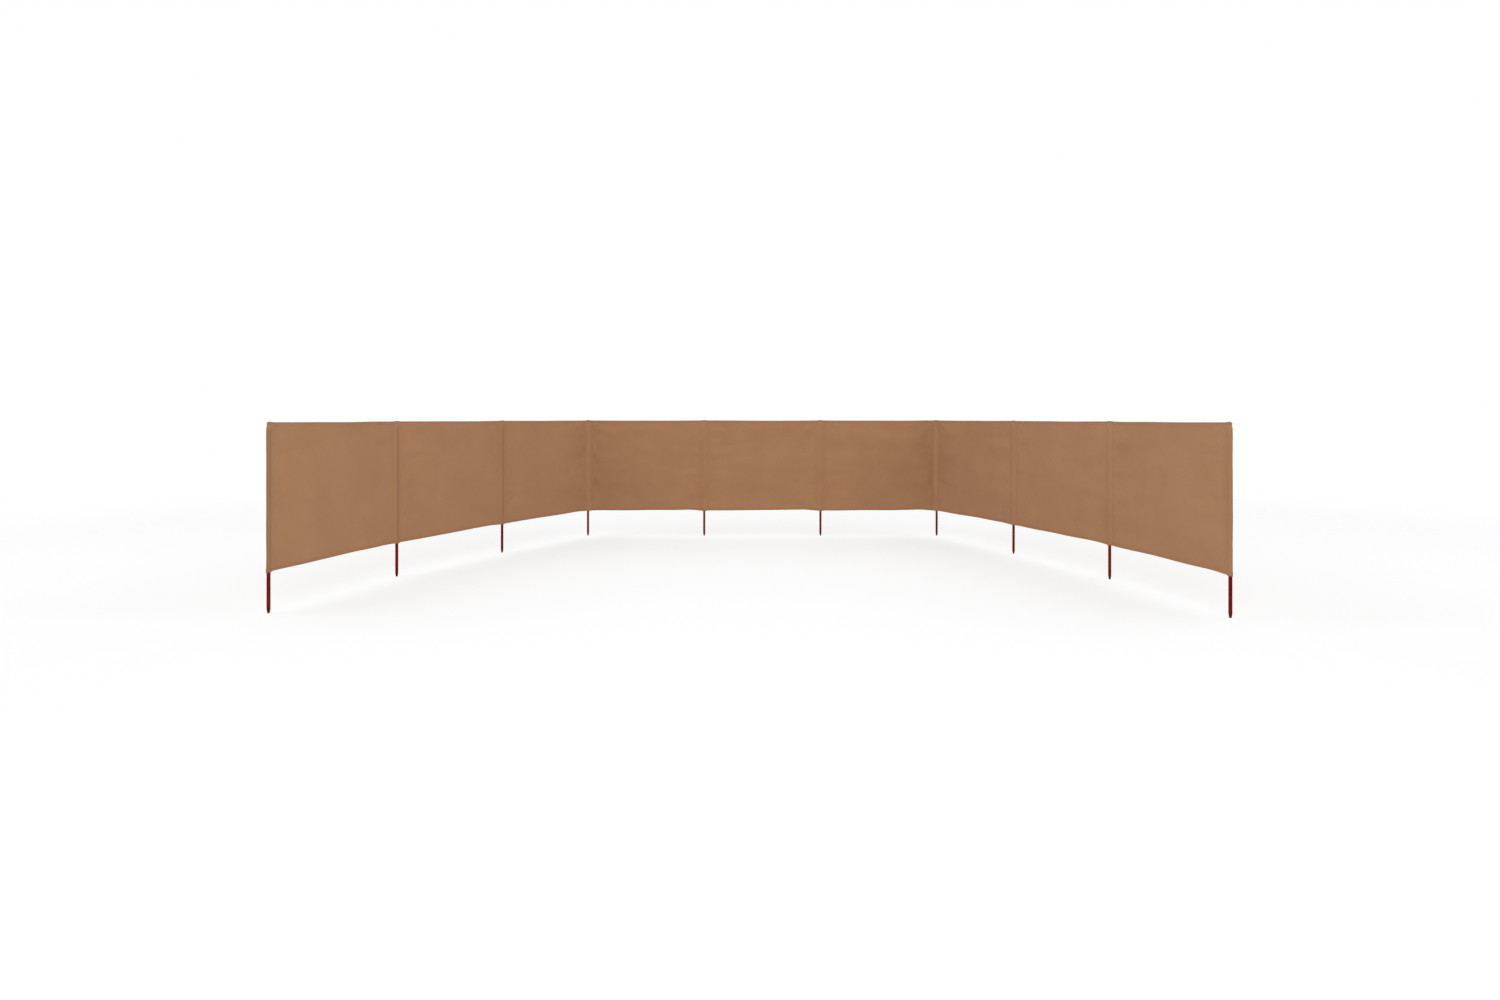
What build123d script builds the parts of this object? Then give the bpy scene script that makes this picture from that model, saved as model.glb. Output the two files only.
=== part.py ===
"""Beach windbreak: nine bays of hemmed cloth, sewn into closed sleeves round ten pointed poles.

Millimetres. X runs along the middle bays, the wings reach towards -Y, Z is up, and the poles stand
with their blunt tips at z = 0. The origin is the tip of the second pole of the middle run.
"""

import os
from math import acos, atan2, cos, degrees, hypot, radians, sin

from build123d import *

# Plan: distance from pole to pole, and how far each wing bay swings from the middle line, in degrees,
# counted outwards from the corner pole.
bay_pitch = 1210.0
middle_bays = 3
left_wing_swings = (62.0, 67.0, 76.0)
right_wing_swings = (69.0, 73.0, 80.0)
origin_pole_in_middle = 1

# Poles: turned dowels with a blunt point at the foot and a chamfered head.
pole_diameter = 22.0
point_length = 28.0
tip_diameter = 13.0
head_chamfer = 3.0
stake_length = 255.0

# Cloth: one strip, folded double at the sleeves, with a hem of three layers along both edges.
cloth_height = 945.0
cloth_layer = 0.8
hem_height = 26.0
hem_layers = 3
top_sag = 3.0
bottom_rise = 4.0

# Sleeves: the cloth passes both sides of the pole and is pinched flat at the seams and over the head.
# The seams and bays stop a little short of the sleeve's own edges, by the drop and the rise.
pole_clearance = 0.3
seam_reach = 34.0
seam_width = 22.0
seam_gap = 0.8
seam_drop = 3.0
seam_rise = 4.0
head_band_height = 18.0
closing_height = 24.0

# Worked out from the sizes above.
cloth_top = stake_length + cloth_height
head_band_foot = cloth_top - head_band_height
shoulder_height = head_band_foot - closing_height
pole_length = shoulder_height - pole_clearance
seam_end = seam_reach + seam_width
seam_top = cloth_top - seam_drop
seam_foot = stake_length + seam_rise
pocket_radius = pole_diameter / 2 + pole_clearance
pinch_radius = seam_gap / 2
hem_thickness = hem_layers * cloth_layer
layout_radius = 2 * seam_end


def pole_places():
    """Plan position of each pole, from the end of the left wing to the end of the right wing."""
    middle = [((k - origin_pole_in_middle) * bay_pitch, 0.0) for k in range(middle_bays + 1)]
    left_wing = []
    x, y = middle[0]
    for swing in left_wing_swings:
        x -= bay_pitch * cos(radians(swing))
        y -= bay_pitch * sin(radians(swing))
        left_wing.insert(0, (x, y))
    right_wing = []
    x, y = middle[-1]
    for swing in right_wing_swings:
        x += bay_pitch * cos(radians(swing))
        y -= bay_pitch * sin(radians(swing))
        right_wing.append((x, y))
    return left_wing + middle + right_wing


def bearing(start, end):
    """Direction of one plan point seen from another, in degrees from +X."""
    return degrees(atan2(end[1] - start[1], end[0] - start[0]))


def make_pole():
    """One pole, turned about its own axis: blunt flat tip, short taper, straight shank, chamfered head."""
    radius = pole_diameter / 2
    with BuildSketch(Plane.XZ) as half_section:
        with BuildLine():
            Polyline(
                (0, 0),
                (tip_diameter / 2, 0),
                (radius, point_length),
                (radius, pole_length - head_chamfer),
                (radius - head_chamfer, pole_length),
                (0, pole_length),
                (0, 0),
            )
        make_face()
    return revolve(half_section.sketch, Axis.Z)


def pocket_outline(thickness):
    """Section of half a sleeve, this thick outside its hollow: the round over the pole, then two tangents
    that draw in to the pinch at the seam."""
    round_size = pocket_radius + thickness
    pinch_size = pinch_radius + thickness
    lean = acos((round_size - pinch_size) / seam_reach)
    round_point = Vector(round_size * cos(lean), round_size * sin(lean))
    pinch_point = Vector(seam_reach + pinch_size * cos(lean), pinch_size * sin(lean))
    round_mirror = Vector(round_point.X, -round_point.Y)
    pinch_mirror = Vector(pinch_point.X, -pinch_point.Y)
    with BuildSketch() as outline:
        with BuildLine():
            Line(round_point, pinch_point)
            ThreePointArc(pinch_point, (seam_reach + pinch_size, 0), pinch_mirror)
            Line(pinch_mirror, round_mirror)
            ThreePointArc(round_mirror, (-round_size, 0), round_point)
        make_face()
    return outline.sketch


def pocket(thickness):
    """Half a sleeve along +X, filled in: straight up to the pole's head, then drawn in to a flat pinch."""
    round_size = pocket_radius + thickness
    pinch_size = pinch_radius + thickness
    with BuildSketch(Plane.YZ) as side_section:
        with BuildLine():
            Polyline(
                (-round_size, stake_length),
                (round_size, stake_length),
                (round_size, shoulder_height),
                (pinch_size, head_band_foot),
                (-pinch_size, head_band_foot),
                (-round_size, shoulder_height),
                (-round_size, stake_length),
            )
        make_face()
    column = extrude(pocket_outline(thickness), head_band_foot - stake_length)
    return Pos(0, 0, stake_length) * column & extrude(side_section.sketch, layout_radius, both=True)


def make_half_sleeve():
    """A sleeve's side towards a bay that lies along +X: shell, hem round its mouth, head band and seam."""
    shell = pocket(cloth_layer) + Pos(0, 0, stake_length) * extrude(pocket_outline(hem_thickness), hem_height)
    shell -= pocket(0)
    head_band = Box(
        pocket_radius + seam_reach,
        2 * (pinch_radius + hem_thickness),
        head_band_height,
        align=(Align.MAX, Align.CENTER, Align.MAX),
    )
    seam_length = seam_width - pinch_radius
    seam_place = (Align.MAX, Align.CENTER, Align.MIN)
    hem_place = (Align.MAX, Align.CENTER, Align.MAX)
    seam = Box(seam_length, 2 * cloth_layer, seam_top - seam_foot, align=seam_place)
    foot_hem = Box(seam_length, 2 * hem_thickness, hem_height, align=seam_place)
    top_hem = Box(seam_length, 2 * hem_thickness, hem_height, align=hem_place)
    half = shell + Pos(seam_reach, 0, cloth_top) * head_band
    half += Pos(seam_end, 0, seam_foot) * (seam + foot_hem)
    half += Pos(seam_end, 0, seam_top) * top_hem
    return half


def make_sleeve(bearings):
    """One sleeve at the origin, with a seam towards each bay that leaves its pole."""
    half = make_half_sleeve()
    halves = [Rot(0, 0, heading) * half for heading in bearings]
    if len(bearings) == 1:
        return halves[0]
    # The two halves meet on the plane that halves the angle between their bays.
    mitre = sum(bearings) / 2
    first_turn = 0 if sin(radians(bearings[0] - mitre)) > 0 else 180
    side = Box(
        2 * layout_radius,
        layout_radius,
        2 * cloth_top,
        align=(Align.CENTER, Align.MIN, Align.CENTER),
    )
    kept = [
        half & Rot(0, 0, mitre + first_turn + 180 * index) * side
        for index, half in enumerate(halves)
    ]
    return kept[0] + kept[1]


def edge_band(lower, upper, lower_bow, upper_bow, length, thickness):
    """A sheet along +X between two level edges, each bowed up or down by its own height at mid-length."""
    with BuildSketch(Plane.XZ) as outline:
        with BuildLine():
            ThreePointArc((0, lower), (length / 2, lower + lower_bow), (length, lower))
            Line((length, lower), (length, upper))
            ThreePointArc((length, upper), (length / 2, upper + upper_bow), (0, upper))
            Line((0, upper), (0, lower))
        make_face()
    return extrude(outline.sketch, thickness / 2, both=True)


def make_panel(span):
    """One bay of cloth between two seams, with a folded hem along its top and bottom edges."""
    length = span - 2 * seam_end
    web = edge_band(seam_foot, seam_top, bottom_rise, -top_sag, length, cloth_layer)
    top_hem = edge_band(seam_top - hem_height, seam_top, -top_sag, -top_sag, length, hem_thickness)
    bottom_hem = edge_band(seam_foot, seam_foot + hem_height, bottom_rise, bottom_rise, length, hem_thickness)
    return Pos(seam_end, 0, 0) * (web + top_hem + bottom_hem)


def write_part(name, shape):
    """One solid to its own file."""
    export_step(shape.solids()[0], f"parts/{name}.step")


os.makedirs("parts", exist_ok=True)
places = pole_places()
pole = make_pole()
for number, place in enumerate(places, start=1):
    here = Pos(*place, 0)
    neighbours = places[max(number - 2, 0) : number - 1] + places[number : number + 1]
    write_part(f"pole_{number}", here * pole)
    write_part(f"sleeve_{number}", here * make_sleeve([bearing(place, other) for other in neighbours]))
for number, (start, end) in enumerate(zip(places, places[1:]), start=1):
    span = hypot(end[0] - start[0], end[1] - start[1])
    panel = Pos(*start, 0) * Rot(0, 0, bearing(start, end)) * make_panel(span)
    write_part(f"panel_{number}", panel)
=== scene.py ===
"""Looks of the beach windbreak: sewn bays and sleeves, stitching, stained poles, studio and camera."""

import math

import bpy
import numpy as np
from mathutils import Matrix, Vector


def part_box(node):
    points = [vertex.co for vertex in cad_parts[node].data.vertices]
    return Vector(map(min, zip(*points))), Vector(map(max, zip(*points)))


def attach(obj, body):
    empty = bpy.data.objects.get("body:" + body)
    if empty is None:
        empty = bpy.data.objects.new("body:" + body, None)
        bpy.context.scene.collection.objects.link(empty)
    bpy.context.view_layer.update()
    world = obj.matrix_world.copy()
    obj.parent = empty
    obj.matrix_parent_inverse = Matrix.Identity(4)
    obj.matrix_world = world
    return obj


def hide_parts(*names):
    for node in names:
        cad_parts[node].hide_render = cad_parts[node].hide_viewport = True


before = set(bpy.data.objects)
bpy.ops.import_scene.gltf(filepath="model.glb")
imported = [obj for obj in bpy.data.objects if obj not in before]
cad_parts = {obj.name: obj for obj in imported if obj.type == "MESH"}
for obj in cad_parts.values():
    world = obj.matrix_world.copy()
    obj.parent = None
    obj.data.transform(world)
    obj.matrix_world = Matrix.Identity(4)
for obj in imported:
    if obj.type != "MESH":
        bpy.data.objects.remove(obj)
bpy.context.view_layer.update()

# Places read from the frame, in metres. Poles and bays are counted from the left.
POLE_COUNT = sum(name.startswith("pole_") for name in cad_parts)
BAY_COUNT = POLE_COUNT - 1
MIDDLE_BAYS = (4, 5, 6)
CORNER_POLES = (4, 7)
FIRST_POLE_LOW, FIRST_POLE_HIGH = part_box("pole_1")
POLE_RADIUS = (FIRST_POLE_HIGH.x - FIRST_POLE_LOW.x) / 2
POLE_HEAD = FIRST_POLE_HIGH.z
CLOTH_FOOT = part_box("sleeve_1")[0].z
CLOTH_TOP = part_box("sleeve_1")[1].z
SEAM_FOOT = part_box("panel_1")[0].z
SEAM_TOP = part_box("panel_1")[1].z

# Hems: folded over twice, most of the fold on the outer face, dented along the stitches, painted shade along
# the folded edge.
CLOTH_LAYER = 0.0008
HEM_THICKNESS = 3 * CLOTH_LAYER
HEM_HEIGHT = 0.026
HEM_STITCH = 0.023
HEM_STEP = 0.0006
HEM_INNER_SHARE = 0.2
DENT_WIDTH = 0.0016
DENT_SHARE = 0.45
FOLD_ROUND = 0.0014
FOLD_LEAST_SHARE = 0.02
FOLD_SHADE_REACH = 0.004
TOP_HEM_TINT = 0.2

# Seams: where the two sides of a sleeve are sewn flat together and the bays begin.
SEAM_REACH = 0.034
SEAM_WIDTH = 0.022
SEAM_OVERLAP = 0.001
SEAM_STEP = 0.001
SEAM_STITCHES = (0.004, 0.018)
SEAM_DROP = CLOTH_TOP - SEAM_TOP
SEAM_RISE = SEAM_FOOT - CLOTH_FOOT
SEAM_RISE_REACH = 0.1

# Sleeves: eased round the pole, a little slack, flared at the mouth, sewn flat over the pole's head.
POCKET_EASE = 0.0005
SLACK = 0.0010
SLACK_STEADY_SHARE = 0.6
SLACK_UNEVEN_SHARE = 0.5
SLACK_LENGTH = 0.24
CRUMPLE = 0.0006
CRUMPLE_LENGTH = 0.05
CRUMPLE_ON_POLE_SHARE = 0.25
CRUMPLE_LOSS_SHARE = 0.5
FLARE = 0.0012
FLARE_HEIGHT = 0.05
MOUTH_HEM_SHARE = 0.6
HEAD_BAND_FOOT = CLOTH_TOP - 0.018
HEAD_BAND_STITCH = 0.003
HEAD_EDGE_STITCH = 0.004
BAND_ROUND = 30
END_BAND_ROUND = 20
MITRE_SHARES = (0.4, 0.6)
END_REACH = 0.0145
END_CORNER_DROP = 0.006
END_CORNER_SHARE = 0.35

# Painted shade down the cloth over a pole: how far round it, how it fades at the head, and how strong on each
# pole.
POLE_SHADE_REACH = (0.0025, 0.008)
POLE_SHADE_FADE = 0.01
POLE_SHADE_SHARES = (1.0, 1.0, 0.9, 0.3, 0.1, 0.1, 0.1, 0.2, 0.2, 0.4)

# Stitches: small grains of thread.
STITCH_PITCH = 0.0055
STITCH_LENGTH = 0.0038
STITCH_WIDTH = 0.0009
STITCH_HEIGHT = 0.00045
STITCH_LIFT = 0.0002

# How the stretched cloth gives between its poles. Each gather has a wave length, a depth and a reach,
# and the spreads say how far single waves are off that length.
RIPPLE_SPREAD = (0.75, 1.45)
TOP_SAG = 0.002
BOTTOM_RISE = 0.010
WING_RISE = 0.006
RISE_POWER = 1.2
RISE_DROP_SHARE = 0.87
EDGE_WAVE = 0.0010
CALM_REACH = 0.07
BELLY = 0.005
BELLY_EDGE_SHARE = 0.4
BROAD_FOLD = 0.0018
BROAD_LENGTH = 0.55
SMALL_FOLD = 0.0007
SMALL_LENGTH = 0.17
DRAG_FOLD = 0.0020
DRAG_REACH = 0.15
DRAG_COUNT = 9
DRAG_SHARES = (1, 1, 0.6, 0.6)
GATHERS = ((0.062, 0.0008, 0.07), (0.118, 0.0018, 0.17), (0.24, 0.0032, 0.40))
GATHER_SPREAD = (0.8, 1.3)
GATHER_SLANT = 0.22
GATHER_START = 0.06
GATHER_EDGE_SHARE = 0.3
GATHER_EDGE_REACH = 0.12
PUCKER = 0.0004
PUCKER_LENGTH = 0.038
PUCKER_REACH = 0.014
PUCKER_UNREST = 1.6

# Mesh: distances of columns from a seam and of rows from a folded edge, and how many lie between.
SEAM_COLUMNS = np.array([0, 0.0015, 0.003, 0.005, 0.009, 0.014, 0.019, 0.021, 0.0235, 0.028])
FIRST_COLUMN = 0.034
COLUMN_COUNT = 135
HEM_ROWS = np.array(
    [0, 0.0005, 0.0014, 0.004, 0.010, 0.016, 0.0205, 0.0218, 0.023, 0.0242, 0.0253, 0.0267, 0.031]
)
WEB_ROW_COUNT = 72
MOUTH_ROWS = np.array([0, 0.0006, 0.002, 0.008, 0.015, 0.0215, 0.0235, 0.0253, 0.0268, 0.034])
BODY_ROW_COUNT = 32
CLOSING_ROW_COUNT = 9
BAND_ROW_COUNT = 7
LOOP_COUNT = 48
PANEL_WEAVE_SHIFT = 1.37
SLEEVE_WEAVE_SHIFT = 0.71
PANEL_SEED = 41
SLEEVE_SEED = 141
TINY = 1e-9


def smooth(low, high, value):
    """Smooth step from 0 at low to 1 at high."""
    share = np.clip((value - low) / (high - low), 0, 1)
    return share * share * (3 - 2 * share)


def pole_place(number):
    """Plan position of a pole's axis."""
    low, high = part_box(f"pole_{number}")
    return np.array([(low.x + high.x) / 2, (low.y + high.y) / 2])


PLACES = [pole_place(number) for number in range(1, POLE_COUNT + 1)]


class Ripple:
    """Smooth, repeatable unevenness: a sum of plane waves of about one length."""

    def __init__(self, rng, length, waves=9):
        angle = rng.uniform(0, 2 * np.pi, waves)
        number = 2 * np.pi / (length * rng.uniform(*RIPPLE_SPREAD, waves))
        self.across = number * np.cos(angle)
        self.up = number * np.sin(angle)
        self.phase = rng.uniform(0, 2 * np.pi, waves)
        self.scale = math.sqrt(2 / waves)

    def __call__(self, u, z):
        u, z = np.broadcast_arrays(u, z)
        total = np.zeros(u.shape)
        for a, b, c in zip(self.across, self.up, self.phase):
            total += np.sin(a * u + b * z + c)
        return total * self.scale


class Gather:
    """Level folds that a seam draws into the cloth, of about one length, dying off away from the seam."""

    def __init__(self, rng, length, depth, reach, waves=5):
        self.up = 2 * np.pi / (length * rng.uniform(*GATHER_SPREAD, waves))
        self.slant = self.up * rng.uniform(-GATHER_SLANT, GATHER_SLANT, waves)
        self.phase = rng.uniform(0, 2 * np.pi, waves)
        self.depth = depth * math.sqrt(2 / waves)
        self.reach = reach

    def __call__(self, from_seam, z):
        total = np.zeros(np.broadcast(from_seam, z).shape)
        for a, b, c in zip(self.slant, self.up, self.phase):
            total += np.sin(a * from_seam + b * z + c)
        begun = smooth(SEAM_WIDTH, GATHER_START, from_seam)
        return self.depth * total * np.exp(-from_seam / self.reach) * begun


def mesh_object(name, points, faces, uvs, material, hem_and_shade=None):
    """A mesh object with a weave coordinate per point, in metres of cloth, and its hem tint and painted shade
    there.

    The three shares of hem_and_shade give the painted shade over a pole, the hem tint and the painted shade
    at a folded edge.
    """
    mesh = bpy.data.meshes.new(name)
    mesh.from_pydata(points.tolist(), [], faces)
    layer = mesh.uv_layers.new(name="weave")
    corner = np.zeros(len(mesh.loops), dtype=np.int32)
    mesh.loops.foreach_get("vertex_index", corner)
    layer.data.foreach_set("uv", np.asarray(uvs, dtype=np.float32)[corner].ravel())
    mesh.polygons.foreach_set("use_smooth", np.full(len(mesh.polygons), True))
    if hem_and_shade is not None:
        attribute = mesh.attributes.new("hem_and_shade", "FLOAT_VECTOR", "POINT")
        attribute.data.foreach_set("vector", hem_and_shade.astype(np.float32).ravel())
    mesh.materials.append(material)
    mesh.update()
    piece = bpy.data.objects.new(name, mesh)
    bpy.context.scene.collection.objects.link(piece)
    return piece


def grid_faces(rows, columns, first=0, wrap=False, flip=False):
    """Quads of a grid of points stored row by row."""
    across = columns if wrap else columns - 1
    r, c = np.meshgrid(np.arange(rows - 1), np.arange(across), indexing="ij")
    here = r * columns + c
    beside = r * columns + (c + 1) % columns
    quads = np.stack([here, beside, beside + columns, here + columns], -1).reshape(-1, 4) + first
    return (quads[:, ::-1] if flip else quads).tolist()


def in_hem(from_edge):
    """1 in the folded hem along an edge, 0 beyond it."""
    return 1 - smooth(HEM_HEIGHT - HEM_STEP, HEM_HEIGHT + HEM_STEP, from_edge)


def at_fold(from_edge):
    """1 at a folded edge, fading off within a few millimetres: the reach of the painted fold shade."""
    return np.exp(-from_edge / FOLD_SHADE_REACH)


class Bay:
    """The cloth between two neighbouring poles, from seam to seam: u runs along it, z up."""

    def __init__(self, number):
        self.number = number
        self.rise = BOTTOM_RISE if number in MIDDLE_BAYS else WING_RISE
        start, end = PLACES[number - 1], PLACES[number]
        span = np.linalg.norm(end - start)
        self.along = (end - start) / span
        self.inward = np.array([self.along[1], -self.along[0]])
        self.start = start + self.along * (SEAM_REACH - SEAM_OVERLAP)
        self.width = span - 2 * (SEAM_REACH - SEAM_OVERLAP)
        rng = np.random.default_rng(PANEL_SEED + number)
        self.belly = rng.uniform(-BELLY, BELLY)
        self.broad = Ripple(rng, BROAD_LENGTH)
        self.small = Ripple(rng, SMALL_LENGTH)
        self.edge = Ripple(rng, BROAD_LENGTH)
        self.unrest = Ripple(rng, SMALL_LENGTH)
        self.drag = rng.uniform(0.5, 1, 4) * np.array(DRAG_SHARES)
        self.drag_phase = rng.uniform(0, 2 * np.pi, 4)
        self.left_gathers = [Gather(rng, *sizes) for sizes in GATHERS]
        self.right_gathers = [Gather(rng, *sizes) for sizes in GATHERS]

    def from_seam(self, u):
        """Distance from the nearer seam."""
        return np.minimum(u, self.width - u)

    def ends(self, u):
        """0 at the seams, 1 away from them."""
        return smooth(0, CALM_REACH, u) * smooth(0, CALM_REACH, self.width - u)

    def bottom(self, u):
        """Height of the lower edge, which is drawn up towards its right-hand end."""
        share = u / self.width
        wave = EDGE_WAVE * self.edge(u, SEAM_FOOT) * self.ends(u)
        return SEAM_FOOT + self.rise * share**RISE_POWER * (1 - smooth(RISE_DROP_SHARE, 1, share)) + wave

    def top(self, u):
        """Height of the upper edge, which sags a little."""
        share = u / self.width
        wave = EDGE_WAVE / 2 * self.edge(u, SEAM_TOP) * self.ends(u)
        return SEAM_TOP - TOP_SAG * 4 * share * (1 - share) + wave

    def sway(self, u, z):
        """How far the cloth stands inward of the line between its seams."""
        below, above = self.top(u) - z, z - self.bottom(u)
        hollow = BELLY_EDGE_SHARE + (1 - BELLY_EDGE_SHARE) * np.sin(np.pi * above / (below + above))
        belly = self.belly * np.sin(np.pi * u / self.width) * hollow
        drape = BROAD_FOLD * self.broad(u, z) + SMALL_FOLD * self.small(u, z)
        corners = ((u, below), (self.width - u, below), (u, above), (self.width - u, above))
        for (side, rise), pull, phase in zip(corners, self.drag, self.drag_phase):
            reach = np.hypot(side, rise) / DRAG_REACH
            turn = np.arctan2(rise, side + TINY)
            drape = drape + DRAG_FOLD * pull * reach * np.exp(1 - reach) * np.cos(DRAG_COUNT * turn + phase)
        gathers = sum(gather(u, z) for gather in self.left_gathers)
        gathers = gathers + sum(gather(self.width - u, z) for gather in self.right_gathers)
        free = smooth(HEM_HEIGHT, GATHER_EDGE_REACH, np.minimum(below, above))
        gathers = gathers * (GATHER_EDGE_SHARE + (1 - GATHER_EDGE_SHARE) * free)
        return belly + gathers + drape * self.ends(u) + self.pucker(u, z, below, above)

    def pucker(self, u, z, below, above):
        """Small gathers along the hem and seam stitches."""
        beat = 2 * np.pi / PUCKER_LENGTH
        restless = PUCKER_UNREST * self.unrest(u, z)
        from_hem = np.minimum(np.abs(below - HEM_STITCH), np.abs(above - HEM_STITCH))
        from_seam = self.from_seam(u)
        hem = np.exp(-from_hem / PUCKER_REACH) * np.sin(beat * u + restless)
        seam = np.exp(-np.abs(from_seam - SEAM_WIDTH) / PUCKER_REACH) * np.sin(beat * z + restless)
        return PUCKER * (hem * self.ends(u) + seam * smooth(0, SEAM_WIDTH, from_seam))

    def from_edge(self, u, z):
        """Distance from the nearer folded edge."""
        return np.minimum(self.top(u) - z, z - self.bottom(u))

    def half_thickness(self, u, z, inside):
        """Half the cloth's thickness here: hems are folded to the outside, and the seams are double."""
        from_edge = self.from_edge(u, z)
        dent = DENT_SHARE * np.exp(-(((from_edge - HEM_STITCH) / DENT_WIDTH) ** 2))
        side_share = HEM_INNER_SHARE if inside else 1 - HEM_INNER_SHARE
        folded = (HEM_THICKNESS - CLOTH_LAYER) * side_share * in_hem(from_edge) * (1 - dent)
        beyond_seam = smooth(SEAM_WIDTH - SEAM_STEP, SEAM_WIDTH + SEAM_STEP, self.from_seam(u))
        double = CLOTH_LAYER / 2 * (1 - beyond_seam)
        fold_round = np.sqrt(np.clip(from_edge / FOLD_ROUND, FOLD_LEAST_SHARE, 1))
        return (CLOTH_LAYER / 2 + folded + double) * fold_round

    def face(self, u, z, inside):
        """Points on one face of the cloth, inside or outside the shelter."""
        u, z = np.broadcast_arrays(np.asarray(u, float), np.asarray(z, float))
        side = 1 if inside else -1
        off = self.sway(u, z) + side * self.half_thickness(u, z, inside)
        plan = self.start + u[..., None] * self.along + off[..., None] * self.inward
        return np.concatenate([plan, z[..., None]], -1)

    def columns(self):
        """Where the mesh's columns stand, closer together at the seams."""
        middle = np.linspace(FIRST_COLUMN, self.width - FIRST_COLUMN, COLUMN_COUNT)
        return np.concatenate([SEAM_COLUMNS, middle, self.width - SEAM_COLUMNS[::-1]])

    def row_heights(self, u):
        """Heights of the mesh's rows over each column, closer together at the hems."""
        lower = self.bottom(u)[None, :] + HEM_ROWS[:, None]
        upper = self.top(u)[None, :] - HEM_ROWS[::-1][:, None]
        share = np.linspace(0, 1, WEB_ROW_COUNT + 2)[1:-1, None]
        web = lower[-1:] + (upper[:1] - lower[-1:]) * share
        return np.concatenate([lower, web, upper])


def make_panel(bay, material):
    """One bay of cloth as a closed mesh with two faces and its edges."""
    u = bay.columns()
    z = bay.row_heights(u)
    rows, columns = z.shape
    wide = np.broadcast_to(u, z.shape)
    faces_points = [bay.face(wide, z, inside).reshape(-1, 3) for inside in (True, False)]
    uv = np.stack([wide + bay.number * PANEL_WEAVE_SHIFT, z], -1).reshape(-1, 2)
    count = rows * columns
    faces = grid_faces(rows, columns) + grid_faces(rows, columns, first=count, flip=True)
    edge = list(range(columns))
    edge += [r * columns + columns - 1 for r in range(1, rows)]
    edge += [(rows - 1) * columns + c for c in range(columns - 2, -1, -1)]
    edge += [r * columns for r in range(rows - 2, 0, -1)]
    for here, after in zip(edge, edge[1:] + edge[:1]):
        faces.append((here, here + count, after + count, after))
    # No shade over poles in a bay; hem tint, and painted shade along the folded edges.
    from_edge = bay.from_edge(wide, z).ravel()
    tint = np.where(z.ravel() < (SEAM_FOOT + SEAM_TOP) / 2, 1, TOP_HEM_TINT)
    hem_and_shade = np.stack([np.zeros(count), in_hem(from_edge) * tint, at_fold(from_edge)], -1)
    points, uvs, hem_and_shade = np.concatenate(faces_points), np.tile(uv, (2, 1)), np.tile(hem_and_shade, (2, 1))
    return mesh_object(f"panel_{bay.number}_cloth", points, faces, uvs, material, hem_and_shade)


def stitch_mesh(name, runs, material):
    """Thread grains along runs of stitches, each run a (centres, along, outward) triple."""
    centres, along, outward = (np.concatenate([run[part] for run in runs]) for part in range(3))
    along = along / np.linalg.norm(along, axis=1, keepdims=True)
    outward = outward / np.linalg.norm(outward, axis=1, keepdims=True)
    across = np.cross(along, outward)
    centres = centres + outward * STITCH_LIFT
    corners = [
        centres - along * STITCH_LENGTH / 2,
        centres + across * STITCH_WIDTH / 2,
        centres + outward * STITCH_HEIGHT,
        centres - across * STITCH_WIDTH / 2,
        centres - outward * STITCH_HEIGHT,
        centres + along * STITCH_LENGTH / 2,
    ]
    points = np.stack(corners, 1).reshape(-1, 3)
    grain = [(0, 1, 2), (0, 2, 3), (0, 3, 4), (0, 4, 1), (5, 2, 1), (5, 3, 2), (5, 4, 3), (5, 1, 4)]
    number = np.arange(len(centres))
    faces = np.array(grain)[None] + len(corners) * number[:, None, None]
    thread = np.tile([0, 0.5, 0.5, 0.5, 0.5, 1], len(centres))
    uv = np.stack([thread, np.repeat(number, len(corners))], -1)
    return mesh_object(name, points, faces.reshape(-1, 3).tolist(), uv, material)


def make_panel_stitches(bay, material):
    """Rows of stitches along both hems and both seams, on both faces of one bay."""
    level = np.arange(SEAM_WIDTH, bay.width - SEAM_WIDTH, STITCH_PITCH)
    upright = np.arange(SEAM_FOOT + STITCH_PITCH, SEAM_TOP - STITCH_PITCH, STITCH_PITCH)
    rows = [(level, bay.bottom(level) + HEM_STITCH), (level, bay.top(level) - HEM_STITCH)]
    for reach in SEAM_STITCHES:
        rows.append((np.full(len(upright), reach + SEAM_OVERLAP), upright))
        rows.append((np.full(len(upright), bay.width - reach - SEAM_OVERLAP), upright))
    runs = []
    for inside in (True, False):
        outward = np.append(bay.inward if inside else -bay.inward, 0)
        for u, z in rows:
            centres = bay.face(u, z, inside)
            runs.append((centres, np.gradient(centres, axis=0), np.tile(outward, (len(centres), 1))))
    return stitch_mesh(f"panel_{bay.number}_stitching", runs, material)


def unit(angle):
    """Plan direction at an angle."""
    return np.stack([np.cos(angle), np.sin(angle)], -1)


def taut_side(first, last, radius, tip, share):
    """Points of a cloth drawn tight from one seam to the next, anticlockwise round a pole of this radius."""
    span = last - first
    lean = math.acos(radius / tip)
    start, end = tip * unit(first), tip * unit(last)
    if span <= 2 * lean:
        return start + (end - start) * share[:, None]
    straight = tip * math.sin(lean)
    bend = radius * (span - 2 * lean)
    run = share * (2 * straight + bend)
    leaving, meeting = radius * unit(first + lean), radius * unit(last - lean)
    on_first = start + (leaving - start) * np.clip(run / straight, 0, 1)[:, None]
    on_bend = radius * unit(first + lean + np.clip(run - straight, 0, bend) / radius)
    on_last = meeting + (end - meeting) * np.clip((run - straight - bend) / straight, 0, 1)[:, None]
    points = np.where((run > straight)[:, None], on_bend, on_first)
    return np.where((run > straight + bend)[:, None], on_last, points)


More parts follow.
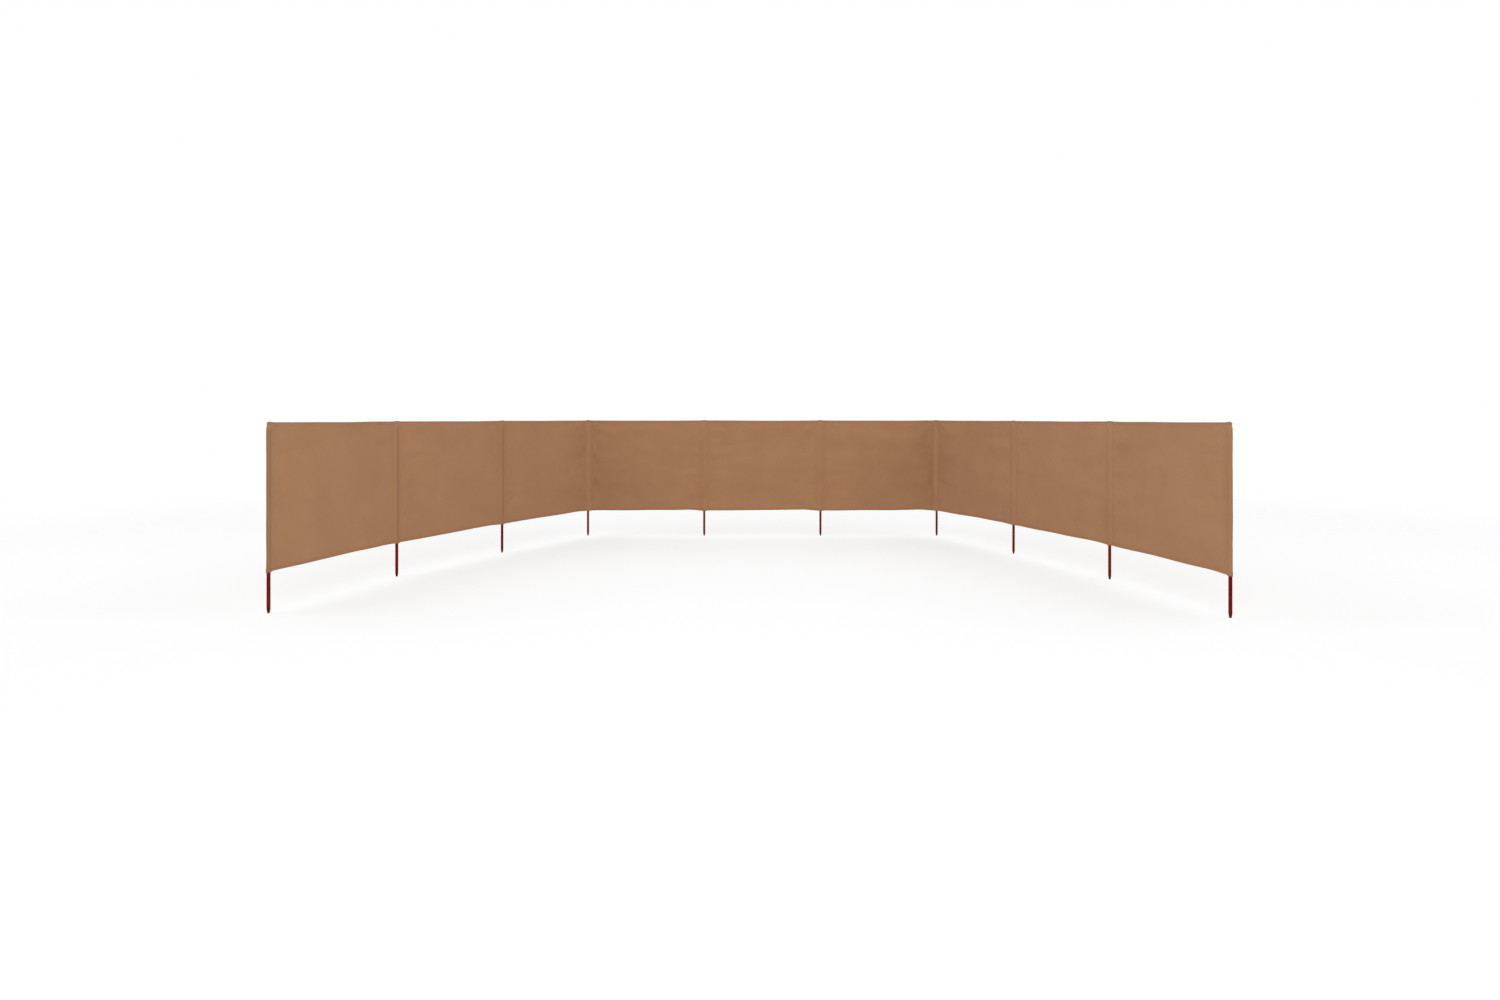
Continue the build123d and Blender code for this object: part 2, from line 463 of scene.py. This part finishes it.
class Sleeve:
    """The cloth pocket round one pole. A share says how far round it a point lies, from the first seam."""

    def __init__(self, number):
        self.number = number
        self.place = PLACES[number - 1]
        others = PLACES[max(number - 2, 0) : number - 1] + PLACES[number : number + 1]
        angles = [math.atan2(*(other - self.place)[::-1]) for other in others]
        self.first = angles[0]
        self.is_end = len(angles) == 1
        self.turn = 2 * math.pi if self.is_end else (angles[1] - angles[0]) % (2 * math.pi)
        rng = np.random.default_rng(SLEEVE_SEED + number)
        self.slack = Ripple(rng, SLACK_LENGTH)
        self.crumple = Ripple(rng, CRUMPLE_LENGTH)
        self.shares = np.arange(LOOP_COUNT) / LOOP_COUNT
        outline = self.pocket(self.shares, CLOTH_LAYER)
        self.girth = np.linalg.norm(outline - np.roll(outline, 1, 0), axis=1).sum()

    def tip(self, skin):
        """Distance of the seam's inner end from the pole's axis."""
        return SEAM_REACH + (SEAM_OVERLAP if skin > 0 else -SEAM_OVERLAP)

    def pocket(self, share, skin):
        """Plan outline where the cloth goes round the pole, this far outside the pocket's hollow."""
        radius = POLE_RADIUS + POCKET_EASE + skin
        tip = self.tip(skin)
        turned = self.first + self.turn
        if self.is_end:
            return taut_side(self.first, turned, radius, tip, share)
        there = taut_side(self.first, turned, radius, tip, np.clip(2 * share, 0, 1))
        back = taut_side(turned, self.first + 2 * math.pi, radius, tip, np.clip(2 * share - 1, 0, 1))
        return np.where((share < 0.5)[:, None], there, back)

    def pinched(self, share, skin):
        """Plan outline where the cloth is sewn flat over the pole's head."""
        tip = self.tip(skin)
        half = HEM_THICKNESS / 2 + CLOTH_LAYER if skin > 0 else CLOTH_LAYER / 4
        side = np.where(share < 0.5, 1.0, -1.0)
        if self.is_end:
            away = self.away(share)
            run = (away * (tip + END_REACH) - END_REACH)[:, None] * unit(self.first)
            off = unit(self.first + math.pi / 2)[None] * side[:, None]
            rounding = np.sqrt(np.clip(np.minimum(away, 1 - away) * END_BAND_ROUND, 0, 1))
            return run + off * (half * rounding)[:, None]
        last = self.first + self.turn
        local = np.where(share < 0.5, 2 * share, 2 - 2 * share)
        on_first = (tip * (1 - 2 * local))[:, None] * unit(self.first)
        on_last = (tip * (2 * local - 1))[:, None] * unit(last)
        run = np.where((local < 0.5)[:, None], on_first, on_last)
        lean = smooth(*MITRE_SHARES, local)[:, None]
        off = unit(self.first + math.pi / 2) * (1 - lean) + unit(last - math.pi / 2) * lean
        rounding = np.sqrt(np.clip(np.minimum(local, 1 - local) * BAND_ROUND, 0, 1))
        return run + off * side[:, None] * (half * rounding)[:, None]

    def away(self, share):
        """0 at the pole, 1 at a seam."""
        return np.abs(2 * share - 1) if self.is_end else np.abs(4 * np.abs(share - 0.5) - 1)

    def top(self, share):
        """Height of the head band's upper edge."""
        away = self.away(share)
        if not self.is_end:
            return CLOTH_TOP - SEAM_DROP * away**2
        near_end = 1 - smooth(0, END_CORNER_SHARE, away)
        return CLOTH_TOP - SEAM_DROP * away**4 - END_CORNER_DROP * near_end

    def surface(self, share, height, skin):
        """Points of one skin of the sleeve at these shares of the way round and these heights."""
        drawn = smooth(POLE_HEAD, HEAD_BAND_FOOT, height)
        plan = self.pocket(share, skin) * (1 - drawn)[:, None] + self.pinched(share, skin) * drawn[:, None]
        outward = plan / np.maximum(np.linalg.norm(plan, axis=1, keepdims=True), TINY)
        sides = 1 if self.is_end else 2
        ends = np.sin(np.pi * (share * sides % 1)) ** 2
        around = share * self.girth
        loose = SLACK * (SLACK_STEADY_SHARE + SLACK_UNEVEN_SHARE * self.slack(around, height))
        crumpled = CRUMPLE * self.crumple(around, height) * (1 - drawn * CRUMPLE_LOSS_SHARE)
        crumpled = crumpled * (CRUMPLE_ON_POLE_SHARE + 4 * drawn * (1 - drawn))
        flare = FLARE * (1 - smooth(0, FLARE_HEIGHT, height - CLOTH_FOOT))
        hem = (HEM_THICKNESS - CLOTH_LAYER) * MOUTH_HEM_SHARE * in_hem(height - CLOTH_FOOT)
        out = (loose + crumpled + flare + (hem if skin > 0 else 0)) * ends
        plan = self.place + plan + outward * out[:, None]
        return np.concatenate([plan, height[:, None]], 1)

    def ring(self, level, skin):
        """One closed row of points at about this height, following the sleeve's own lower and upper edge."""
        share = self.shares
        if level <= HEAD_BAND_FOOT:
            lifted = SEAM_RISE * self.away(share) ** 2 * (1 - smooth(0, SEAM_RISE_REACH, level - CLOTH_FOOT))
            return self.surface(share, level + lifted, skin)
        rise = (level - HEAD_BAND_FOOT) / (CLOTH_TOP - HEAD_BAND_FOOT)
        return self.surface(share, HEAD_BAND_FOOT + (self.top(share) - HEAD_BAND_FOOT) * rise, skin)


def make_sleeve(sleeve, material):
    """One sleeve as a closed mesh: outer and inner skin, hem at the mouth, sewn band over the head."""
    mouth = CLOTH_FOOT + MOUTH_ROWS
    body = np.linspace(mouth[-1], POLE_HEAD, BODY_ROW_COUNT)[1:]
    closing = np.linspace(POLE_HEAD, HEAD_BAND_FOOT, CLOSING_ROW_COUNT)[1:]
    band = np.linspace(HEAD_BAND_FOOT, CLOTH_TOP, BAND_ROW_COUNT)[1:]
    outer = [sleeve.ring(z, CLOTH_LAYER) for z in np.concatenate([mouth, body, closing, band])]
    inner = [sleeve.ring(z, 0) for z in np.concatenate([mouth, body, closing])]
    points = np.concatenate(outer + inner)
    below = len(outer) * LOOP_COUNT
    faces = grid_faces(len(outer), LOOP_COUNT, wrap=True)
    faces += grid_faces(len(inner), LOOP_COUNT, first=below, wrap=True, flip=True)
    for j in range(LOOP_COUNT):
        after = (j + 1) % LOOP_COUNT
        faces.append((after, j, below + j, below + after))
    caps = ((len(outer) - 1) * LOOP_COUNT, False), (below + (len(inner) - 1) * LOOP_COUNT, True)
    for first, flip in caps:
        for j in range(LOOP_COUNT // 2):
            ring = [j, j + 1, (LOOP_COUNT - j - 1) % LOOP_COUNT, (LOOP_COUNT - j) % LOOP_COUNT]
            loop = [first + k for k in dict.fromkeys(ring)]
            faces.append(tuple(loop[::-1] if flip else loop))
    height = points[:, 2]
    share = np.tile(sleeve.shares, len(outer) + len(inner))
    uv = np.stack([share * sleeve.girth + sleeve.number * SLEEVE_WEAVE_SHIFT, height], -1)
    # Painted shade down the cloth where the pole lies behind it, stronger on some poles, fading out at the
    # pole's head; then hem tint and painted shade along the folded edges.
    from_pole = np.linalg.norm(points[:, :2] - sleeve.place, axis=1) - POLE_RADIUS
    pole_shade = POLE_SHADE_SHARES[sleeve.number - 1] * (1 - smooth(*POLE_SHADE_REACH, from_pole))
    pole_shade *= 1 - smooth(POLE_HEAD - POLE_SHADE_FADE, POLE_HEAD + POLE_SHADE_FADE, height)
    from_edge = np.minimum(height - CLOTH_FOOT, CLOTH_TOP - height)
    tint = np.where(height < POLE_HEAD, 1, TOP_HEM_TINT)
    hem_and_shade = np.stack([pole_shade, in_hem(from_edge) * tint, at_fold(from_edge)], -1)
    return mesh_object(f"sleeve_{sleeve.number}_cloth", points, faces, uv, material, hem_and_shade)


def make_sleeve_stitches(sleeve, material):
    """Stitches round the mouth's hem and across the head band."""
    count = int(sleeve.girth / STITCH_PITCH)
    share = (np.arange(count) + 0.5) / count
    levels = [
        np.full(count, CLOTH_FOOT + HEM_STITCH),
        np.full(count, HEAD_BAND_FOOT + HEAD_BAND_STITCH),
        sleeve.top(share) - HEAD_EDGE_STITCH,
    ]
    runs = []
    for height in levels:
        centres = sleeve.surface(share, height, CLOTH_LAYER)
        along = np.roll(centres, -1, 0) - np.roll(centres, 1, 0)
        outward = np.cross(along, np.array([0, 0, 1.0]))
        runs.append((centres, along, outward))
    return stitch_mesh(f"sleeve_{sleeve.number}_stitching", runs, material)


def srgb(red, green, blue):
    """Linear colour of an 8-bit screen colour."""
    values = [c / 255 for c in (red, green, blue)]
    return tuple(c / 12.92 if c <= 0.04045 else ((c + 0.055) / 1.055) ** 2.4 for c in values) + (1.0,)


# Places of the sockets that a colour mix uses, which share their names with others on that node.
MIX_FACTOR = 0
MIX_FIRST_COLOUR = 6
MIX_SECOND_COLOUR = 7
MIX_COLOUR_OUT = 2


class Nodes:
    """Short calls for building one material's nodes."""

    def __init__(self, name):
        self.material = bpy.data.materials.new(name)
        self.material.use_nodes = True
        self.tree = self.material.node_tree
        self.shader = self.tree.nodes["Principled BSDF"]

    def add(self, kind, **settings):
        """A new node with these settings."""
        node = self.tree.nodes.new(kind)
        for key, value in settings.items():
            setattr(node, key, value)
        return node

    def link(self, source, target):
        """A link from an output to an input."""
        self.tree.links.new(source, target)

    def feed(self, socket, value):
        """A link where the value is an output, or else a constant."""
        if hasattr(value, "is_linked"):
            self.link(value, socket)
        else:
            socket.default_value = value

    def set(self, name, value):
        """One input of the surface shader."""
        self.feed(self.shader.inputs[name], value)

    def split(self, vector):
        """The three parts of a vector."""
        node = self.add("ShaderNodeSeparateXYZ")
        self.link(vector, node.inputs[0])
        return node.outputs

    def math(self, operation, first, second=None):
        """An operation on one or two numbers."""
        node = self.add("ShaderNodeMath", operation=operation)
        self.feed(node.inputs[0], first)
        if second is not None:
            self.feed(node.inputs[1], second)
        return node.outputs[0]

    def plus(self, first, second):
        """Two numbers added."""
        return self.math("ADD", first, second)

    def times(self, first, second):
        """Two numbers multiplied."""
        return self.math("MULTIPLY", first, second)

    def noise(self, vector, scale=1.0, detail=3.0, stretch=(1, 1, 1), roughness=0.55):
        """Noise over a vector that is stretched first."""
        mapping = self.add("ShaderNodeMapping")
        mapping.inputs["Scale"].default_value = stretch
        self.link(vector, mapping.inputs["Vector"])
        node = self.add("ShaderNodeTexNoise")
        node.inputs["Scale"].default_value = scale
        node.inputs["Detail"].default_value = detail
        node.inputs["Roughness"].default_value = roughness
        self.link(mapping.outputs[0], node.inputs["Vector"])
        return node.outputs["Fac"]

    def ramp(self, factor, stops):
        """Screen colours along a factor."""
        node = self.add("ShaderNodeValToRGB")
        elements = node.color_ramp.elements
        while len(elements) < len(stops):
            elements.new(0.5)
        for element, (place, colour) in zip(elements, stops):
            element.position = place
            element.color = srgb(*colour)
        self.link(factor, node.inputs["Fac"])
        return node.outputs["Color"]

    def tint(self, factor, colour, other):
        """A colour mixed towards a screen colour."""
        node = self.add("ShaderNodeMix", data_type="RGBA")
        self.feed(node.inputs[MIX_FACTOR], factor)
        self.feed(node.inputs[MIX_FIRST_COLOUR], colour)
        self.feed(node.inputs[MIX_SECOND_COLOUR], srgb(*other))
        return node.outputs[MIX_COLOUR_OUT]

    def span(self, value, low, high):
        """A value mapped to 0..1 between two limits."""
        node = self.add("ShaderNodeMapRange", interpolation_type="SMOOTHSTEP")
        self.link(value, node.inputs["Value"])
        node.inputs["From Min"].default_value = low
        node.inputs["From Max"].default_value = high
        return node.outputs["Result"]

    def bump(self, height, distance, strength):
        """A normal from a height."""
        node = self.add("ShaderNodeBump")
        node.inputs["Strength"].default_value = strength
        node.inputs["Distance"].default_value = distance
        self.link(height, node.inputs["Height"])
        return node.outputs["Normal"]


# Screen colours, and how far each is mixed in.
CLOTH_SHADES = ((0.34, (158, 116, 84)), (0.5, (164, 122, 89)), (0.66, (170, 128, 95)))
# Painted shade in the gaps between the yarns.
YARN_GAP_SHADE, YARN_GAP_SHADE_SHARE = (122, 86, 58), 0.12
HEM_COLOUR, HEM_SHARE = (164, 112, 74), 0.5
# Painted shade down the cloth over the poles.
POLE_SHADE_COLOUR, POLE_SHADE_SHARE = (132, 92, 63), 0.45
# Painted shade along the folded edges.
FOLD_SHADE_COLOUR, FOLD_SHADE_SHARE = (122, 82, 54), 0.7
THREAD_SHADES = ((0.3, (128, 90, 61)), (0.7, (152, 110, 77)))
WOOD_SHADES = ((0.36, (74, 10, 3)), (0.5, (114, 21, 5)), (0.64, (146, 46, 16)))
PORE_COLOUR, PORE_SHARE = (52, 8, 3), 0.6
POINT_COLOUR, POINT_SHARE = (46, 28, 25), 0.8
POINT_HEIGHTS = (0.025, 0.06)

# Patterns: spots per metre along each axis, a stitch's twist in radians, heights of reliefs in metres.
YARN_PITCH = 0.0009
WARP_SLUBS = (900, 14, 1)
WEFT_SLUBS = (14, 900, 1)
BLOTCHES = 3.2
FIBRES = 5200.0
CLOTH_RELIEF = 0.00012
THREAD_TWIST = 40.0
THREAD_WEAR = 160.0
THREAD_RELIEF = 0.00008
WOOD_GRAIN = (420, 420, 9)
WOOD_STREAKS = (110, 110, 3.5)
WOOD_PORES = (1500, 1500, 45)
PORE_SPAN = (0.56, 0.68)
POINT_RAGGED = 0.03
WOOD_RELIEF = 0.0003


def cloth_material():
    """Matt tan plain weave: yarns over and under with painted shade in their gaps, uneven yarn, faint
    blotches, tinted hems, painted shade over the poles and along the folded edges.
    """
    n = Nodes("tan_cloth")
    uv = n.add("ShaderNodeUVMap", uv_map="weave").outputs["UV"]
    place = n.add("ShaderNodeTexCoord").outputs["Object"]
    parts = n.split(uv)
    warp = n.math("SINE", n.times(parts["X"], math.pi / YARN_PITCH))
    weft = n.math("SINE", n.times(parts["Y"], math.pi / YARN_PITCH))
    weave = n.times(warp, weft)
    warp_slub = n.noise(uv, detail=2.0, stretch=WARP_SLUBS)
    weft_slub = n.noise(uv, detail=2.0, stretch=WEFT_SLUBS)
    slub = n.times(n.plus(warp_slub, weft_slub), 0.5)
    blotch = n.noise(place, scale=BLOTCHES, detail=4.0)
    fibre = n.noise(uv, scale=FIBRES, detail=2.0)
    tone = n.plus(n.times(slub, 0.6), n.times(blotch, 0.4))
    colour = n.ramp(tone, CLOTH_SHADES)
    # Painted shade where the yarns dip under each other.
    yarn_gap_shade = n.math("SUBTRACT", 1.0, n.span(weave, -1.0, 1.0))
    colour = n.tint(n.times(yarn_gap_shade, YARN_GAP_SHADE_SHARE), colour, YARN_GAP_SHADE)
    hem_and_shade = n.split(n.add("ShaderNodeAttribute", attribute_name="hem_and_shade").outputs["Vector"])
    colour = n.tint(n.times(hem_and_shade["Y"], HEM_SHARE), colour, HEM_COLOUR)
    # Painted shade over the poles.
    colour = n.tint(n.times(hem_and_shade["X"], POLE_SHADE_SHARE), colour, POLE_SHADE_COLOUR)
    # Painted shade along the folded edges.
    colour = n.tint(n.times(hem_and_shade["Z"], FOLD_SHADE_SHARE), colour, FOLD_SHADE_COLOUR)
    n.set("Base Color", colour)
    n.set("Roughness", n.plus(0.8, n.times(fibre, 0.2)))
    n.set("Specular IOR Level", 0.15)
    n.set("Sheen Weight", 0.05)
    n.set("Sheen Roughness", 0.5)
    relief = n.plus(n.times(slub, 3.0), n.times(fibre, 0.6))
    n.set("Normal", n.bump(relief, distance=CLOTH_RELIEF, strength=0.6))
    return n.material


def thread_material():
    """Tan sewing thread, a shade deeper than the cloth, with a twist."""
    n = Nodes("sewing_thread")
    parts = n.split(n.add("ShaderNodeUVMap", uv_map="weave").outputs["UV"])
    place = n.add("ShaderNodeTexCoord").outputs["Object"]
    twist = n.math("SINE", n.times(parts["X"], THREAD_TWIST))
    worn = n.noise(place, scale=THREAD_WEAR, detail=2.0)
    n.set("Base Color", n.ramp(worn, THREAD_SHADES))
    n.set("Roughness", n.plus(0.55, n.times(worn, 0.2)))
    n.set("Normal", n.bump(twist, distance=THREAD_RELIEF, strength=0.6))
    return n.material


def wood_material():
    """Dark red-brown stained dowel: long grain, pores, darkened and greyed towards the point."""
    n = Nodes("stained_wood")
    place = n.add("ShaderNodeTexCoord").outputs["Object"]
    grain = n.noise(place, detail=5.0, stretch=WOOD_GRAIN, roughness=0.6)
    streak = n.noise(place, stretch=WOOD_STREAKS)
    pores = n.noise(place, detail=2.0, stretch=WOOD_PORES)
    tone = n.plus(n.times(grain, 0.6), n.times(streak, 0.4))
    colour = n.ramp(tone, WOOD_SHADES)
    dark_pores = n.times(n.span(pores, *PORE_SPAN), PORE_SHARE)
    colour = n.tint(dark_pores, colour, PORE_COLOUR)
    ragged = n.plus(n.split(place)["Z"], n.times(streak, POINT_RAGGED))
    at_point = n.math("SUBTRACT", 1.0, n.span(ragged, *POINT_HEIGHTS))
    n.set("Base Color", n.tint(n.times(at_point, POINT_SHARE), colour, POINT_COLOUR))
    n.set("Roughness", n.plus(0.45, n.times(grain, 0.3)))
    n.set("Specular IOR Level", 0.06)
    relief = n.math("SUBTRACT", grain, n.times(dark_pores, 0.8))
    n.set("Normal", n.bump(relief, distance=WOOD_RELIEF, strength=0.5))
    return n.material


def dress_poles(material):
    """The turned poles keep their solid shape and get their stain."""
    for number in range(1, POLE_COUNT + 1):
        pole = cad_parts[f"pole_{number}"]
        pole.data.materials.clear()
        pole.data.materials.append(material)


def sew(cloth, thread):
    """Every bay and sleeve with its stitching, each riding on the one body and standing for its solid."""
    for number in range(1, POLE_COUNT + 1):
        sleeve = Sleeve(number)
        piece = make_sleeve(sleeve, cloth)
        stitches = make_sleeve_stitches(sleeve, thread)
        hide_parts(f"sleeve_{number}")
        for part in (piece, stitches):
            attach(part, "root")
    for number in range(1, BAY_COUNT + 1):
        bay = Bay(number)
        piece = make_panel(bay, cloth)
        stitches = make_panel_stitches(bay, thread)
        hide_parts(f"panel_{number}")
        for part in (piece, stitches):
            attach(part, "root")


# Studio: a pale floor that fades into a white surround, soft light from above on all four sides.
STAGE_CENTRE = (0.6, -1.6, 0.0)
AIM_HEIGHT = 0.6
FLOOR_RADIUS = 12.0
FLOOR_FADE = (4.5, 10.5)
FLOOR_SIDES = 96
FLOOR_COLOUR = (0.86, 0.86, 0.86, 1)
FLOOR_GLOW = 0.66
WORLD_LIGHT = 0.62
WHITE = (1.0, 1.0, 1.0, 1.0)
SEEN_RAYS = ("Is Camera Ray", "Is Glossy Ray", "Is Transmission Ray")
LAMP_SIZE = 6.0
LAMPS = (
    ("left_lamp", (-7.0, -2.5, 6.5), 206),
    ("right_lamp", (8.2, -2.5, 6.5), 202),
    ("front_lamp", (0.6, -9.5, 5.5), 258),
    ("back_lamp", (0.6, 7.0, 6.5), 230),
)


def seen_directly(tree):
    """1 for what the camera sees, also in a gloss or through glass, and 0 for light on the object."""
    path = tree.nodes.new("ShaderNodeLightPath")
    seen = path.outputs[SEEN_RAYS[0]]
    for other in SEEN_RAYS[1:]:
        larger = tree.nodes.new("ShaderNodeMath")
        larger.operation = "MAXIMUM"
        tree.links.new(seen, larger.inputs[0])
        tree.links.new(path.outputs[other], larger.inputs[1])
        seen = larger.outputs[0]
    return seen


def make_floor():
    """A pale round floor; seen directly it is nearly white, and it keeps the shadows."""
    angles = np.arange(FLOOR_SIDES) / FLOOR_SIDES * 2 * np.pi
    rim = np.stack([np.cos(angles), np.sin(angles), np.zeros(FLOOR_SIDES)], -1) * FLOOR_RADIUS
    mesh = bpy.data.meshes.new("floor")
    mesh.from_pydata(rim.tolist(), [], [tuple(range(FLOOR_SIDES))])
    floor = bpy.data.objects.new("floor", mesh)
    floor.location = STAGE_CENTRE
    bpy.context.scene.collection.objects.link(floor)
    n = Nodes("pale_floor")
    n.set("Base Color", FLOOR_COLOUR)
    n.set("Roughness", 0.9)
    n.set("Specular IOR Level", 0.1)
    glow = n.add("ShaderNodeEmission")
    glow.inputs["Color"].default_value = WHITE
    lit = n.add("ShaderNodeMixShader")
    n.link(n.times(seen_directly(n.tree), FLOOR_GLOW), lit.inputs[0])
    n.link(n.shader.outputs[0], lit.inputs[1])
    n.link(glow.outputs[0], lit.inputs[2])
    reach = n.add("ShaderNodeVectorMath", operation="LENGTH")
    n.link(n.add("ShaderNodeTexCoord").outputs["Object"], reach.inputs[0])
    faded = n.add("ShaderNodeMixShader")
    n.link(n.span(reach.outputs["Value"], *FLOOR_FADE), faded.inputs[0])
    n.link(lit.outputs[0], faded.inputs[1])
    n.link(n.add("ShaderNodeBsdfTransparent").outputs[0], faded.inputs[2])
    n.link(faded.outputs[0], n.tree.nodes["Material Output"].inputs["Surface"])
    mesh.materials.append(n.material)


def make_world():
    """Even light all round, and plain white where the camera sees past the floor."""
    world = bpy.data.worlds.new("studio")
    world.use_nodes = True
    tree = world.node_tree
    background = tree.nodes["Background"]
    background.inputs["Color"].default_value = WHITE
    strength = tree.nodes.new("ShaderNodeMapRange")
    strength.inputs["To Min"].default_value = WORLD_LIGHT
    strength.inputs["To Max"].default_value = 1.0
    tree.links.new(seen_directly(tree), strength.inputs["Value"])
    tree.links.new(strength.outputs["Result"], background.inputs["Strength"])
    bpy.context.scene.world = world


def make_lamp(name, place, power):
    """A large soft area lamp that points at the middle of the object."""
    data = bpy.data.lights.new(name, "AREA")
    data.shape = "DISK"
    data.size = LAMP_SIZE
    data.energy = power
    lamp = bpy.data.objects.new(name, data)
    lamp.location = place
    aim = Vector(STAGE_CENTRE) + Vector((0, 0, AIM_HEIGHT)) - Vector(place)
    lamp.rotation_mode = "QUATERNION"
    lamp.rotation_quaternion = aim.to_track_quat("-Z", "Y")
    bpy.context.scene.collection.objects.link(lamp)


# Camera: level, as far off as the perspective of the bays says, shifted up to the photograph's framing.
PHOTO_WIDTH, PHOTO_HEIGHT = 1500, 1000
FOCAL_PIXELS = 810.6
HORIZON_PIXEL = 417.7
CAMERA_HEIGHT = 1.0211 * CLOTH_TOP
CAMERA_DISTANCE = 7.034 * CLOTH_TOP
CAMERA_LEFT_OF_MIDDLE = 0.107 * CLOTH_TOP
SENSOR_WIDTH = 36.0
CLIP_END = 200


def make_camera():
    """The photograph's view."""
    data = bpy.data.cameras.new("camera")
    data.sensor_width = SENSOR_WIDTH
    data.lens = FOCAL_PIXELS / PHOTO_WIDTH * SENSOR_WIDTH
    data.shift_y = (HORIZON_PIXEL - PHOTO_HEIGHT / 2) / PHOTO_WIDTH
    data.clip_end = CLIP_END
    camera = bpy.data.objects.new("camera", data)
    middle = sum(PLACES[number - 1] for number in CORNER_POLES) / 2
    camera.location = (middle[0] - CAMERA_LEFT_OF_MIDDLE, middle[1] - CAMERA_DISTANCE, CAMERA_HEIGHT)
    camera.rotation_euler = (math.pi / 2, 0, 0)
    bpy.context.scene.collection.objects.link(camera)
    bpy.context.scene.camera = camera


make_camera()
sew(cloth_material(), thread_material())
dress_poles(wood_material())
make_floor()
make_world()
for lamp in LAMPS:
    make_lamp(*lamp)
bpy.context.scene.view_settings.view_transform = "Standard"
